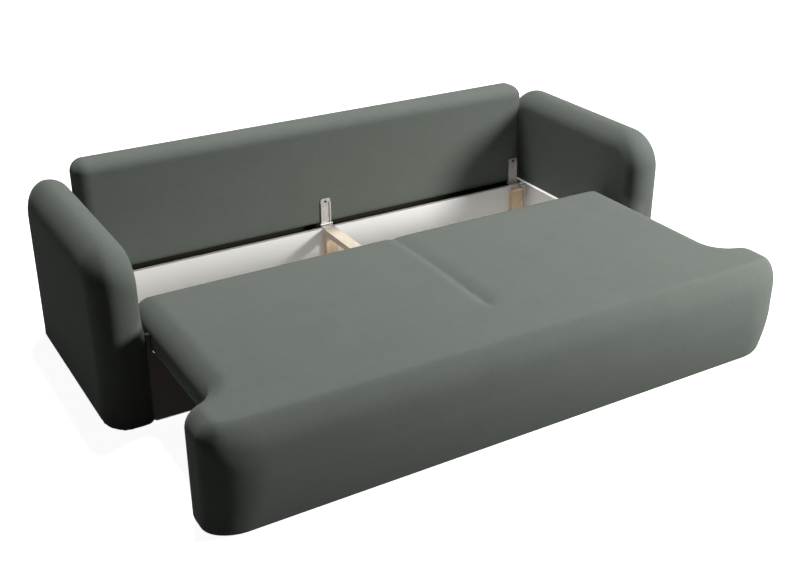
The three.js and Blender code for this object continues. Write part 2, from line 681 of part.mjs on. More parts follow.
function backSlice(x) {
  const inset = roundDrop(Math.abs(x) - (BACK_HALF - BACK_ROUND), BACK_ROUND);
  const bounds = {
    front: BACK_FACE + inset,
    rear: BACK_REAR - inset,
    bottom: BACK_BOTTOM + Math.min(inset, BACK_BOTTOM_ROUND),
    top: BACK_TOP - inset,
  };
  const edge = Math.max(BACK_ROUND - inset, EDGE_EASE);
  const foot = Math.max(BACK_BOTTOM_ROUND - inset, EDGE_EASE);
  const rounds = { rearBottom: foot, rearTop: edge, frontTop: edge, frontBottom: foot };
  return slice(x, bounds, rounds, BACK_TOP_STEPS, BACK_SIDE_STEPS);
}

// The faces swell between the edges, above the hinge leaves
function swellBack(point) {
  const side = 1 - (point.x / BACK_HALF) ** 4;
  const lowest = BACK_BOTTOM + BACK_BOTTOM_ROUND;
  const height = THREE.MathUtils.clamp((point.z - lowest) / (BACK_TOP - BACK_ROUND - lowest), 0, 1);
  const rise = Math.sin(height * Math.PI) * Math.max(side, 0);
  const middle = (BACK_FACE + BACK_REAR) / 2;
  point.y += point.y < middle ? -BACK_FRONT_CROWN * rise : BACK_REAR_CROWN * rise;
}

function addBackrest() {
  const middles = BACK_MIDDLES_SHARE.map((share) => share * BACK_HALF);
  const slices = endedPlaces(middles, BACK_HALF, BACK_ROUND).map(backSlice);
  const form = reshaped(skinOver(slices), swellBack);
  const boardHalf = BACK_HALF - BACK_EDGE_PADDING;
  const boardTop = BACK_TOP - BACK_EDGE_PADDING;
  const boardRear = BACK_BOARD_FRONT + BOARD;
  const pocket = block(
    [-boardHalf - FIT, BACK_BOARD_FRONT - FIT, BACK_BOTTOM - OVERRUN],
    [boardHalf + FIT, boardRear + FIT, boardTop + FIT],
  );
  const holes = HINGES.map(({ centre }) => (
    rod('y', SCREW_RADIUS + FIT, LEAF_FRONT - OVERRUN, SCREW_END + FIT, centre, SCREW_Z)
  ));
  const recesses = HINGES.map(({ centre }) => block(
    [centre - HINGE_HALF - FIT, LEAF_FRONT - OVERRUN, BACK_BOTTOM - OVERRUN],
    [centre + HINGE_HALF + FIT, BACK_FACE, LEAF_TOP + FIT],
  ));
  add(backUnit, 'backrest_cushion', cut(form, [pocket, ...holes, ...recesses]), FABRIC);
  const board = block([-boardHalf, BACK_BOARD_FRONT, BACK_BOTTOM], [boardHalf, boardRear, boardTop]);
  add(backUnit, 'backrest_board', cut(board, holes), CHIPBOARD);
}
addBackrest();

// Seat: a mattress with a channel down its middle, over a pine frame and a deck
const SEAT_TOP_STEPS = 9;
const SEAT_SIDE_STEPS = 2;
const SEAT_PLACES_SHARE = [0, 0.012, 0.026, 0.045, 0.08, 0.3, 0.6];
const SEAM_FADE_POWER = 2;

// Height that the seat's side round has lost at this distance from the middle
function seatSideDrop(x) {
  return roundDrop(Math.abs(x) - (SEAT_HALF - SEAT_ROUND), SEAT_ROUND);
}

function seatSlice(x) {
  const drop = seatSideDrop(x);
  const under = roundDrop(Math.abs(x) - (SEAT_HALF - SEAT_SIDE_DRAW), SEAT_SIDE_DRAW) / SEAT_SIDE_DRAW;
  const bounds = {
    front: FIT,
    rear: SEAT_DEPTH - drop,
    bottom: SEAT_BOTTOM + under * SEAT_SIDE_DRAW_HEIGHT,
    top: SEAT_TOP - drop,
  };
  const rearTop = Math.max(SEAT_ROUND - drop, EDGE_EASE);
  const rounds = { rearBottom: SEAT_BOTTOM_ROUND, rearTop, frontTop: EDGE_EASE, frontBottom: EDGE_EASE };
  const room = (bounds.top - bounds.bottom) / 2;
  rounds.rearBottom = Math.min(rounds.rearBottom, room);
  rounds.rearTop = Math.min(rounds.rearTop, room);
  return slice(x, bounds, rounds, SEAT_TOP_STEPS, SEAT_SIDE_STEPS);
}

// The crown of the mattress, and the channel that fades out towards the front
function shapeSeatTop(point) {
  const height = (point.z - SEAT_BOTTOM) / (SEAT_TOP - SEAT_BOTTOM);
  const lift = THREE.MathUtils.clamp(2 * height - 1, 0, 1);
  const side = Math.max(1 - (point.x / SEAT_HALF) ** 4, 0);
  const length = THREE.MathUtils.clamp((SEAT_DEPTH - point.y) / SEAM_LENGTH, 0, 1);
  const ends = Math.sin(THREE.MathUtils.clamp(point.y / SEAT_DEPTH, 0, 1) * Math.PI);
  const channel = Math.exp(-((point.x / SEAM_WIDTH) ** 2)) * (1 - length ** SEAM_FADE_POWER);
  point.z += lift * (SEAT_CROWN * side * ends - SEAM_DEPTH * channel);
}

function addSeatCushion() {
  const inner = SEAT_PLACES_SHARE.map((share) => share * SEAT_HALF);
  const slices = endedPlaces(inner, SEAT_HALF, SEAT_ROUND).map(seatSlice);
  const form = reshaped(skinOver(slices), shapeSeatTop);
  const pocket = block(
    [-FRAME_HALF - FIT, -OVERRUN, RIM_HEIGHT],
    [FRAME_HALF + FIT, FRAME_REAR + FIT, DECK_TOP + FIT],
  );
  add(seatUnit, 'seat_cushion', cut(form, [pocket]), FABRIC);
}
addSeatCushion();

function addSeatFrame() {
  const railFront = BUMPER_BOARD_REAR;
  const crossFront = FRAME_REAR - SEAT_RAIL;
  for (const { name, sign } of SIDES) {
    add(seatUnit, `seat_rail_${name}`, sidedBlock(
      sign,
      [FRAME_HALF - SEAT_RAIL, railFront, RAIL_BOTTOM],
      [FRAME_HALF, crossFront, RAIL_TOP],
    ), PINE);
    add(sofa, `front_glide_${name}`, sidedBlock(
      sign,
      [FRAME_HALF - SEAT_RAIL, FRONT_BOARD_SETBACK, BOARD_TOP],
      [FRAME_HALF, FRONT_BOARD_REAR, RAIL_BOTTOM - FIT],
    ), NYLON);
  }
  add(seatUnit, 'seat_rail_centre', block(
    [-SEAT_RAIL / 2, railFront, RAIL_BOTTOM],
    [SEAT_RAIL / 2, crossFront, RAIL_TOP],
  ), PINE);
  add(seatUnit, 'seat_rail_rear', block(
    [-FRAME_HALF, crossFront, RAIL_BOTTOM],
    [FRAME_HALF, FRAME_REAR, RAIL_TOP],
  ), PINE);
  add(seatUnit, 'centre_glide', block(
    [-SEAT_RAIL / 2, crossFront, RIM_HEIGHT + FIT],
    [SEAT_RAIL / 2, FRAME_REAR, RAIL_BOTTOM],
  ), NYLON);
  add(seatUnit, 'seat_deck', block(
    [-FRAME_HALF, BUMPER_BOARD_REAR, RAIL_TOP],
    [FRAME_HALF, FRAME_REAR, DECK_TOP],
  ), CHIPBOARD);
}
addSeatFrame();

// Bumper: the rolled front with its two wings, over a box of boards
const BUMPER_TOP_STEPS = 5;
const BUMPER_SIDE_STEPS = 5;
const BUMPER_PLACES_SHARE = [0, 0.5];
const TUCK_CURVE = 2;
const TUCK_SPREAD = 3;

// How far the rear of a wing lies ahead of the bumper's rear plane
function wingSetback(x) {
  const past = Math.abs(x) - SEAT_HALF;
  const step = WING_STEP * THREE.MathUtils.smoothstep(past, 0, WING_STEP_WIDTH);
  const slope = WING_SLOPE * Math.max(past, 0) / (BUMPER_HALF - SEAT_HALF);
  return step + slope;
}

function bumperSlice(x) {
  const out = Math.abs(x);
  const endDrop = roundDrop(out - (BUMPER_HALF - BUMPER_END_ROUND), BUMPER_END_ROUND);
  const cornerDrop = roundDrop(out - (BUMPER_HALF - BUMPER_FRONT_CORNER), BUMPER_FRONT_CORNER);
  const rearDrop = roundDrop(out - (BUMPER_HALF - BUMPER_REAR_CORNER), BUMPER_REAR_CORNER);
  const bounds = {
    front: -BUMPER_DEPTH + cornerDrop,
    rear: -wingSetback(x) - rearDrop,
    bottom: FLOOR_GAP,
    top: SEAT_TOP - endDrop,
  };
  const rounds = {
    rearBottom: EDGE_EASE,
    rearTop: THREE.MathUtils.clamp(seatSideDrop(x), EDGE_EASE, WING_REAR_ROUND),
    frontTop: Math.max(BUMPER_TOP_ROUND - cornerDrop, EDGE_EASE),
    frontBottom: BUMPER_FOOT_ROUND,
  };
  const room = (bounds.rear - bounds.front) / 2;
  rounds.rearTop = Math.min(rounds.rearTop, room);
  rounds.frontTop = Math.min(rounds.frontTop, room);
  return slice(x, bounds, rounds, BUMPER_TOP_STEPS, BUMPER_SIDE_STEPS);
}

// The front runs back towards its lower edge
function tuckFront(point) {
  const low = Math.max(BUMPER_BULGE_HEIGHT - point.z, 0) / (BUMPER_BULGE_HEIGHT - FLOOR_GAP);
  const forward = THREE.MathUtils.clamp(-point.y / BUMPER_DEPTH, 0, 1);
  point.y += BUMPER_TUCK * (low ** TUCK_CURVE) * (forward ** TUCK_SPREAD);
}

function addBumper() {
  const inner = BUMPER_PLACES_SHARE.map((share) => share * SEAT_HALF);
  const shoulder = endedPlaces([], SEAT_HALF, SEAT_ROUND).filter((place) => place > 0);
  const wing = [SEAT_HALF + WING_STEP_WIDTH / 2, SEAT_HALF + WING_STEP_WIDTH];
  const ends = endedPlaces([...inner, ...shoulder, ...wing], BUMPER_HALF, BUMPER_REAR_CORNER);
  const form = reshaped(skinOver(ends.map(bumperSlice)), tuckFront);
  const cavity = block(
    [-SEAT_HALF - FIT, BUMPER_BOARD_FRONT - FIT, -OVERRUN],
    [SEAT_HALF + FIT, OVERRUN, DECK_TOP + FIT],
  );
  add(seatUnit, 'bumper_cushion', cut(form, [cavity]), FABRIC);
  add(seatUnit, 'bumper_front_board', block(
    [-SEAT_HALF, BUMPER_BOARD_FRONT, BUMPER_FRAME_BOTTOM],
    [SEAT_HALF, BUMPER_BOARD_REAR, DECK_TOP],
  ), CHIPBOARD);
  add(seatUnit, 'bumper_bottom_board', block(
    [-SEAT_HALF, BUMPER_BOARD_REAR, BUMPER_FRAME_BOTTOM],
    [SEAT_HALF, BUMPER_BOX_REAR - BOARD, BUMPER_FRAME_BOTTOM + BOARD],
  ), CHIPBOARD);
  add(seatUnit, 'bumper_rear_board', block(
    [-SEAT_HALF, BUMPER_BOX_REAR - BOARD, BUMPER_FRAME_BOTTOM],
    [SEAT_HALF, BUMPER_BOX_REAR, RAIL_BOTTOM],
  ), DARK_BOARD);
}
addBumper();

// Wheels under the bumper, each in a fork that holds its axle
const WHEEL_Y = (BUMPER_BOARD_REAR + BUMPER_BOX_REAR - BOARD) / 2;
const FORK_INNER = WHEEL_WIDTH / 2 + WHEEL_HUB_SIDE + FIT;

function wheelForm(centre) {
  const half = WHEEL_WIDTH / 2;
  const hub = half + WHEEL_HUB_SIDE;
  const profile = [
    [0, centre - hub],
    [WHEEL_HUB_RADIUS, centre - hub],
    [WHEEL_HUB_RADIUS, centre - half],
    [WHEEL_RADIUS - WHEEL_EASE, centre - half],
    [WHEEL_RADIUS, centre - half + WHEEL_EASE],
    [WHEEL_RADIUS, centre + half - WHEEL_EASE],
    [WHEEL_RADIUS - WHEEL_EASE, centre + half],
    [WHEEL_HUB_RADIUS, centre + half],
    [WHEEL_HUB_RADIUS, centre + hub],
    [0, centre + hub],
  ];
  const boreHalf = hub + OVERRUN;
  const bore = rod('x', AXLE_RADIUS + FIT, centre - boreHalf, centre + boreHalf, WHEEL_Y, WHEEL_RADIUS);
  return cut(turnedAboutX(profile, WHEEL_Y, WHEEL_RADIUS), [bore]);
}

function forkForm(centre) {
  const plate = block(
    [centre - FORK_WIDTH / 2, WHEEL_Y - FORK_LENGTH / 2, BUMPER_FRAME_BOTTOM - FORK_PLATE],
    [centre + FORK_WIDTH / 2, WHEEL_Y + FORK_LENGTH / 2, BUMPER_FRAME_BOTTOM],
  );
  const cheeks = [-FORK_INNER - FORK_PLATE, FORK_INNER].map((side) => block(
    [centre + side, WHEEL_Y - WHEEL_HUB_RADIUS, WHEEL_RADIUS - WHEEL_HUB_RADIUS],
    [centre + side + FORK_PLATE, WHEEL_Y + WHEEL_HUB_RADIUS, BUMPER_FRAME_BOTTOM],
  ));
  const reach = FORK_INNER + FORK_PLATE;
  const axle = rod('x', AXLE_RADIUS, centre - reach, centre + reach, WHEEL_Y, WHEEL_RADIUS);
  return joined([plate, ...cheeks, axle]);
}

WHEEL_CENTRES_SHARE.forEach((share, order) => {
  const centre = share * SEAT_HALF;
  add(seatUnit, `wheel_${order + 1}`, wheelForm(centre), BLACK_PLASTIC);
  add(seatUnit, `wheel_fork_${order + 1}`, forkForm(centre), STEEL);
});

export default sofa;
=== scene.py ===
import json
import math

import bpy
import numpy as np
from mathutils import Euler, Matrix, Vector


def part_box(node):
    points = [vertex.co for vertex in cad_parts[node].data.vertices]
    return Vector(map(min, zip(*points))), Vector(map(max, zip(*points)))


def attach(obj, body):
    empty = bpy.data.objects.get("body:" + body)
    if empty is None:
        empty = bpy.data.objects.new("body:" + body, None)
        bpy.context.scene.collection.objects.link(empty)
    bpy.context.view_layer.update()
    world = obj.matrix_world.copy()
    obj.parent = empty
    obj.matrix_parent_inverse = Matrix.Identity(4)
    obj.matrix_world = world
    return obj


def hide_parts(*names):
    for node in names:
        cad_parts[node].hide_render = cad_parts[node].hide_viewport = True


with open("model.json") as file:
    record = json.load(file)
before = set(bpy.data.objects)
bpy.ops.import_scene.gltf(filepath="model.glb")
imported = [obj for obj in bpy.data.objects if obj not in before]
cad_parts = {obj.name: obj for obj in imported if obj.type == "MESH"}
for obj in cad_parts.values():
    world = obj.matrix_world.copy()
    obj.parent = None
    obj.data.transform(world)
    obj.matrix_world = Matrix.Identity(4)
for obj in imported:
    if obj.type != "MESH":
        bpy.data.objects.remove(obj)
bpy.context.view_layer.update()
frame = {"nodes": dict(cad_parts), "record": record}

# The looks of a sleeper sofa whose seat is rolled out, in metres: X to the right,
# Y to the rear and Z up. Places and sizes come from the boxes of the frame's nodes.

MM = 0.001


# Node trees

def tree_of(owner):
    """An empty node tree of a material or a world."""
    owner.use_nodes = True
    owner.node_tree.nodes.clear()
    return owner.node_tree


def node(tree, kind, inputs=(), **settings):
    """Adds a node, sets its properties, and sets or links its inputs by name or number."""
    made = tree.nodes.new(kind)
    for key, value in settings.items():
        setattr(made, key, value)
    for key, value in dict(inputs).items():
        if isinstance(value, bpy.types.NodeSocket):
            tree.links.new(value, made.inputs[key])
        else:
            made.inputs[key].default_value = value
    return made


def colour(rgb):
    """The colour with full opacity."""
    return (*rgb, 1.0)


def grey(level):
    return (level, level, level)


def object_points(tree, scale=(1, 1, 1)):
    """Coordinates that stay with the piece, stretched by a scale."""
    place = node(tree, "ShaderNodeTexCoord").outputs["Object"]
    return node(tree, "ShaderNodeMapping", {"Vector": place, "Scale": scale}).outputs["Vector"]


def noise_of(tree, points, scale, detail=2.0, rough=0.5, distortion=0.0):
    """Noise from 0 to 1 at the points."""
    settings = {"Vector": points, "Scale": scale, "Detail": detail, "Roughness": rough,
                "Distortion": distortion}
    return node(tree, "ShaderNodeTexNoise", settings).outputs["Fac"]


def ramp(tree, factor, stops):
    """A colour ramp through (place, colour) stops."""
    made = node(tree, "ShaderNodeValToRGB", {"Fac": factor})
    elements = made.color_ramp.elements
    while len(elements) < len(stops):
        elements.new(0.5)
    for element, (place, rgb) in zip(elements, stops):
        element.position = place
        element.color = colour(rgb)
    return made.outputs["Color"]


def mixed(tree, factor, first, second, blend):
    """Two colours put together."""
    settings = {"Factor": factor, "A": first, "B": second}
    made = node(tree, "ShaderNodeMix", data_type="RGBA", blend_type=blend)
    for name, value in settings.items():
        socket = [entry for entry in made.inputs if entry.name == name and entry.enabled][0]
        if isinstance(value, bpy.types.NodeSocket):
            tree.links.new(value, socket)
        else:
            socket.default_value = value
    return [entry for entry in made.outputs if entry.enabled][0]


def between(tree, value, low, high):
    """Maps a value from 0..1 to low..high."""
    return node(tree, "ShaderNodeMapRange", {"Value": value, "To Min": low, "To Max": high}).outputs[0]


def bump(tree, height, distance, strength, after=None):
    """The surface raised by a height, on top of another bump where one is given."""
    inputs = {"Height": height, "Distance": distance, "Strength": strength}
    if after is not None:
        inputs["Normal"] = after
    return node(tree, "ShaderNodeBump", inputs).outputs["Normal"]


def surfaced(material, tree, inputs):
    """Ends a material in a Principled shader with these inputs."""
    shader = node(tree, "ShaderNodeBsdfPrincipled", inputs)
    output = node(tree, "ShaderNodeOutputMaterial")
    tree.links.new(shader.outputs["BSDF"], output.inputs["Surface"])
    return material


# Materials

FABRIC_LIGHT = (0.123, 0.137, 0.1215)
FABRIC_DARK = (0.115, 0.128, 0.1135)


def fabric_material():
    """Short-pile upholstery: soft mottling where the pile is brushed, fine grain and sheen."""
    material = bpy.data.materials.new("upholstery_fabric")
    tree = tree_of(material)
    points = object_points(tree)
    brushed = noise_of(tree, points, scale=9.0, detail=3.0, rough=0.55)
    mottled = noise_of(tree, points, scale=60.0, detail=3.0, rough=0.6)
    grain = noise_of(tree, points, scale=420.0, detail=2.0, rough=0.6)
    threads = noise_of(tree, object_points(tree, (900, 900, 60)), scale=1.0, detail=1.0)
    base = ramp(tree, brushed, [(0.25, FABRIC_DARK), (0.75, FABRIC_LIGHT)])
    shade = ramp(tree, mottled, [(0.3, grey(0.97)), (0.7, grey(1.03))])
    base = mixed(tree, 1.0, base, shade, "MULTIPLY")
    fine = ramp(tree, grain, [(0.3, grey(0.94)), (0.7, grey(1.06))])
    base = mixed(tree, 1.0, base, fine, "MULTIPLY")
    normal = bump(tree, mottled, distance=0.5 * MM, strength=0.5)
    normal = bump(tree, threads, distance=0.15 * MM, strength=0.5, after=normal)
    normal = bump(tree, grain, distance=0.25 * MM, strength=0.6, after=normal)
    return surfaced(material, tree, {
        "Base Color": base,
        "Roughness": between(tree, mottled, low=0.86, high=0.97),
        "Specular IOR Level": 0.06,
        "Sheen Weight": 0.04,
        "Sheen Roughness": 0.45,
        "Normal": normal,
    })


def laminate_material():
    """White satin laminate with a faint orange-peel surface and a slight yellowing."""
    material = bpy.data.materials.new("white_laminate")
    tree = tree_of(material)
    points = object_points(tree)
    cloudy = noise_of(tree, points, scale=3.0)
    speckle = noise_of(tree, points, scale=700.0)
    base = ramp(tree, cloudy, [(0.3, (0.85, 0.835, 0.815)), (0.7, (0.875, 0.865, 0.845))])
    normal = bump(tree, speckle, distance=0.05 * MM, strength=0.4)
    return surfaced(material, tree, {
        "Base Color": base,
        "Roughness": between(tree, cloudy, low=0.36, high=0.46),
        "Specular IOR Level": 0.4,
        "Normal": normal,
    })


RING_SCALE = 3.0
FIBRES_PER_RING = 12


def wood_material(name, light, dark, stretch):
    """Planed wood whose grain runs along the axis with the smallest stretch."""
    material = bpy.data.materials.new(name)
    tree = tree_of(material)
    points = object_points(tree, stretch)
    figure = noise_of(tree, points, scale=RING_SCALE, detail=3.0, rough=0.6, distortion=1.2)
    fine_stretch = tuple(FIBRES_PER_RING * part for part in stretch)
    fibres = noise_of(tree, object_points(tree, fine_stretch), scale=RING_SCALE)
    base = ramp(tree, figure, [(0.3, light), (0.52, dark), (0.62, light)])
    fine = ramp(tree, fibres, [(0.35, (0.93, 0.92, 0.90)), (0.65, grey(1.03))])
    base = mixed(tree, 1.0, base, fine, "MULTIPLY")
    normal = bump(tree, fibres, distance=0.2 * MM, strength=0.5)
    return surfaced(material, tree, {
        "Base Color": base,
        "Roughness": between(tree, figure, low=0.6, high=0.72),
        "Specular IOR Level": 0.3,
        "Normal": normal,
    })


def chipboard_material():
    """Raw chipboard: pressed flakes of several browns."""
    material = bpy.data.materials.new("chipboard")
    tree = tree_of(material)
    points = object_points(tree)
    flakes = node(tree, "ShaderNodeTexVoronoi", {"Vector": points, "Scale": 260.0})
    tones = noise_of(tree, points, scale=150.0, detail=3.0, rough=0.7)
    base = ramp(tree, tones, [(0.3, (0.36, 0.24, 0.11)), (0.7, (0.58, 0.42, 0.22))])
    base = mixed(tree, 0.25, base, flakes.outputs["Color"], "SOFT_LIGHT")
    normal = bump(tree, flakes.outputs["Distance"], distance=0.3 * MM, strength=0.4)
    return surfaced(material, tree, {
        "Base Color": base,
        "Roughness": between(tree, tones, low=0.8, high=0.95),
        "Normal": normal,
    })


def dark_board_material():
    """Dark brown laminate with a faint grain across its length. On the rear rail the same near-black colour
    is painted shade: it darkens the gap above the box's rear panel, under the backrest.
    """
    material = bpy.data.materials.new("dark_board")
    tree = tree_of(material)
    grain = noise_of(tree, object_points(tree, (6, 60, 160)), scale=3.0, detail=3.0, rough=0.6)
    base = ramp(tree, grain, [(0.3, (0.017, 0.0125, 0.0075)), (0.7, (0.025, 0.0185, 0.011))])
    normal = bump(tree, grain, distance=0.1 * MM, strength=0.4)
    return surfaced(material, tree, {
        "Base Color": base,
        "Roughness": between(tree, grain, low=0.6, high=0.75),
        "Specular IOR Level": 0.2,
        "Normal": normal,
    })


def steel_material(name, light, dark, rough):
    """Zinc-plated sheet with a cloudy finish and faint rolling marks."""
    material = bpy.data.materials.new(name)
    tree = tree_of(material)
    cloudy = noise_of(tree, object_points(tree), scale=90.0, detail=3.0)
    marks = noise_of(tree, object_points(tree, (900, 900, 40)), scale=1.0)
    base = ramp(tree, cloudy, [(0.3, dark), (0.7, light)])
    normal = bump(tree, marks, distance=0.05 * MM, strength=0.4)
    return surfaced(material, tree, {
        "Base Color": base,
        "Metallic": 0.7,
        "Roughness": between(tree, cloudy, low=rough, high=rough + 0.12),
        "Normal": normal,
    })


def plastic_material(name, light, dark, rough):
    """Moulded plastic with a fine texture."""
    material = bpy.data.materials.new(name)
    tree = tree_of(material)
    points = object_points(tree)
    cloudy = noise_of(tree, points, scale=40.0)
    texture = noise_of(tree, points, scale=1500.0)
    base = ramp(tree, cloudy, [(0.3, dark), (0.7, light)])
    normal = bump(tree, texture, distance=0.06 * MM, strength=0.5)
    return surfaced(material, tree, {
        "Base Color": base,
        "Roughness": between(tree, cloudy, low=rough, high=rough + 0.1),
        "Normal": normal,
    })


PINE_LIGHT = (0.68, 0.62, 0.52)
PINE_DARK = (0.61, 0.53, 0.42)
POST_LIGHT = (0.80, 0.63, 0.44) # the posts are of a warmer piece
POST_DARK = (0.71, 0.54, 0.36)
ZINC_LIGHT = (0.66, 0.64, 0.61)
ZINC_DARK = (0.52, 0.50, 0.48)
STEEL_LIGHT = (0.06, 0.056, 0.052)
STEEL_DARK = (0.04, 0.038, 0.036)
NYLON_LIGHT = (0.72, 0.70, 0.66)
NYLON_DARK = (0.66, 0.64, 0.60)
ALONG_X = (1.2, 14, 14)         # how the grain is squeezed along each axis
ALONG_Y = (14, 1.2, 14)
ALONG_Z = (14, 14, 1.2)
MATERIALS = {
    "fabric": fabric_material(),
    "laminate": laminate_material(),
    "dark_board": dark_board_material(),
    "chipboard": chipboard_material(),
    "pine_x": wood_material("pine_along_x", PINE_LIGHT, PINE_DARK, ALONG_X),
    "pine_y": wood_material("pine_along_y", PINE_LIGHT, PINE_DARK, ALONG_Y),
    "pine_z": wood_material("pine_along_z", POST_LIGHT, POST_DARK, ALONG_Z),
    "steel": steel_material("zinc_plated_steel", ZINC_LIGHT, ZINC_DARK, rough=0.38),
    "dark_steel": steel_material("dark_steel", STEEL_LIGHT, STEEL_DARK, rough=0.4),
    "nylon": plastic_material("nylon", NYLON_LIGHT, NYLON_DARK, rough=0.4),
    "black_plastic": plastic_material("black_plastic", grey(0.014), grey(0.010), rough=0.45),
}


# Soft forms as fields: negative inside, zero on the surface, in metres

def soft_step(value):
    """Smooth from 0 to 1 while the value goes from 0 to 1."""
    value = np.clip(value, 0, 1)
    return value * value * (3 - 2 * value)


def meet(first, second, radius):
    """What lies inside both fields, with the edge between them rounded."""
    past_first = np.maximum(first + radius, 0)
    past_second = np.maximum(second + radius, 0)
    return np.minimum(np.maximum(first, second), -radius) + np.hypot(past_first, past_second)


def join(first, second, radius):
    """What lies inside either field, with a hollow fillet between them."""
    near_first = np.maximum(radius - first, 0)
    near_second = np.maximum(radius - second, 0)
    return np.maximum(np.minimum(first, second), radius) - np.hypot(near_first, near_second)


def block_field(x, y, z, low, high):
    """A plain box."""
    outside = [low[0] - x, x - high[0], low[1] - y, y - high[1], low[2] - z, z - high[2]]
    return np.max(outside, axis=0)


SLOPE_STEP = 0.5 * MM
LONGEST_MOVE = 12 * MM
LEAST_SLOPE = 0.2         # keeps points from leaping where a field is flat
COARSE_ROUNDS = 14        # of moving a mesh's points onto its field
FINE_ROUNDS = 8
CREASE_ROUNDS = 4


def slope_of(field, points):
    """The field's value and its gradient at each point."""
    value = field(*points.T)
    gradient = np.empty_like(points)
    for axis in range(3):
        ahead, behind = points.copy(), points.copy()
        ahead[:, axis] += SLOPE_STEP
        behind[:, axis] -= SLOPE_STEP
        gradient[:, axis] = (field(*ahead.T) - field(*behind.T)) / (2 * SLOPE_STEP)
    return value, gradient


def drawn_onto(field, points, rounds):
    """Moves points along the gradient until they lie on the field's surface."""
    for _ in range(rounds):
        value, gradient = slope_of(field, points)
        length = np.maximum(np.linalg.norm(gradient, axis=1), LEAST_SLOPE)
        move = np.clip(value / length, -LONGEST_MOVE, LONGEST_MOVE)
        points = points - gradient * (move / length)[:, None]
    return points


def points_of(mesh):
    """The mesh's points, a row each."""
    flat = np.empty(len(mesh.vertices) * 3)
    mesh.vertices.foreach_get("co", flat)
    return flat.reshape(-1, 3)


def set_points(mesh, points):
    mesh.vertices.foreach_set("co", points.astype(np.float32).ravel())
    mesh.update()


def new_object(name, verts, faces):
    """A mesh object in the scene."""
    mesh = bpy.data.meshes.new(name)
    mesh.from_pydata([tuple(vert) for vert in verts], [], faces)
    made = bpy.data.objects.new(name, mesh)
    bpy.context.scene.collection.objects.link(made)
    return made


BOX_FACES = [(0, 2, 3, 1), (4, 5, 7, 6), (0, 1, 5, 4), (2, 6, 7, 3), (0, 4, 6, 2), (1, 3, 7, 5)]


def box_mesh(boxes):
    """Corner points and faces of several boxes, each a (low, high) pair."""
    verts, faces = [], []
    for low, high in boxes:
        first = len(verts)
        verts += [(x, y, z) for x in (low[0], high[0]) for y in (low[1], high[1]) for z in (low[2], high[2])]
        faces += [tuple(first + corner for corner in face) for face in BOX_FACES]
    return verts, faces


def remesh(target, voxel):
    """Gives the object an even mesh of small quads."""
    modifier = target.modifiers.new("Remesh", "REMESH")
    modifier.mode = "VOXEL"
    modifier.voxel_size = voxel
    modifier.use_smooth_shade = True
    graph = bpy.context.evaluated_depsgraph_get()
    fresh = bpy.data.meshes.new_from_object(target.evaluated_get(graph))
    target.modifiers.clear()
    target.data = fresh


def soft_piece(name, boxes, field, voxel):
    """A closed upholstered form: boxes, remeshed and drawn onto the field."""
    piece = new_object(name, *box_mesh(boxes))
    remesh(piece, 2 * voxel)
    set_points(piece.data, drawn_onto(field, points_of(piece.data), COARSE_ROUNDS))
    remesh(piece, voxel)
    set_points(piece.data, drawn_onto(field, points_of(piece.data), FINE_ROUNDS))
    piece.data.polygons.foreach_set("use_smooth", [True] * len(piece.data.polygons))
    return piece


def finish_soft(piece, body, *nodes):
    """Covers the piece in fabric and says what it moves with and stands for."""
    piece.data.materials.append(MATERIALS["fabric"])
    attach(piece, body)
    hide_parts(*nodes)


def box_of(name):
    """A node's lowest and highest corners."""
    low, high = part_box(name)
    return np.array(low), np.array(high)


VOXEL = 8 * MM
POCKET_PLAY = 2 * MM      # between the foam and the boards inside it
POCKET_ROUND = 4 * MM
POCKET_DEPTH = -1         # well below the floor, as the pockets are open below
CROWN_POWER = 4           # how flat a crown is in the middle


def board_pocket(x, y, z, name):
    """The space in the foam for a board."""
    low, high = box_of(name)
    return block_field(
        x, y, z,
        (low[0] - POCKET_PLAY, low[1] - POCKET_PLAY, POCKET_DEPTH),
        (high[0] + POCKET_PLAY, high[1] + POCKET_PLAY, high[2] + POCKET_PLAY))


# Seat and bumper: one cover over the mattress and the rolled front

SEAT_SWELL = 13 * MM      # the filled cover stands this proud of its sides
SEAT_ROUND = 82 * MM
SEAT_ROUND_DROP = 74 * MM # height of that rounding down its sides
SEAT_CORNER = 60 * MM     # rear corners seen from above
SEAT_BOTTOM_ROUND = 16 * MM
SEAT_DRAW = 30 * MM       # how far the sides are drawn in at the bottom
SEAT_DRAW_HEIGHT = 62 * MM
SEAT_CROWN = 7 * MM
SEAT_LIFT = 2 * MM        # of its top edge above the bumper's solid
SEAT_OVERLAP = 130 * MM   # how far the mattress runs on inside the bumper
DRAW_SHARE = 0.999        # keeps the slope of the drawn-in sides finite at their bottom
CREASE_REAR_DEPTH = 5 * MM
CREASE_FRONT_DEPTH = 14 * MM
CREASE_LEFT = 42 * MM     # width of its left slope
CREASE_RIGHT = 74 * MM
CREASE_FRONT = -0.562     # where the crease ends, ahead of the seat's middle
CREASE_FADE = 75 * MM
FRONT_ROUND = 158 * MM    # top edge along the front
END_ROUND = 64 * MM       # top edge at the ends of the wings
ROUND_BLEND = 0.33        # softens the change from one to the other
END_WEIGHT = 0.6          # how fast the front's rounding fades round the corners
WING_TOP_WIDTH = 70 * MM  # over which the seat's side rounding becomes the wing's
FRONT_EASE = 4 * MM       # the cover lies this far inside the bumper's front and rear
CORNER_LOW = 80 * MM      # depth of the front corners, seen from above, near the floor
CORNER_HIGH = 112 * MM    # and at mid-height
CORNER_SPREAD = 1.6       # how much wider than deep they are
REAR_CORNER = 63 * MM
FOOT_ROUND = 18 * MM
END_FOOT_ROUND = 27 * MM  # softer lower edge at the ends
BULGE_HEIGHT = 0.220      # of the foremost line above the floor
TUCK = 54 * MM            # how far the front runs back below it
TUCK_POWER = 1.5
WING_FILLET = 80 * MM     # hollow between the seat's side and a wing
WING_FILLET_LOW = 36 * MM # tighter low down, clear of the front board's ends when closed
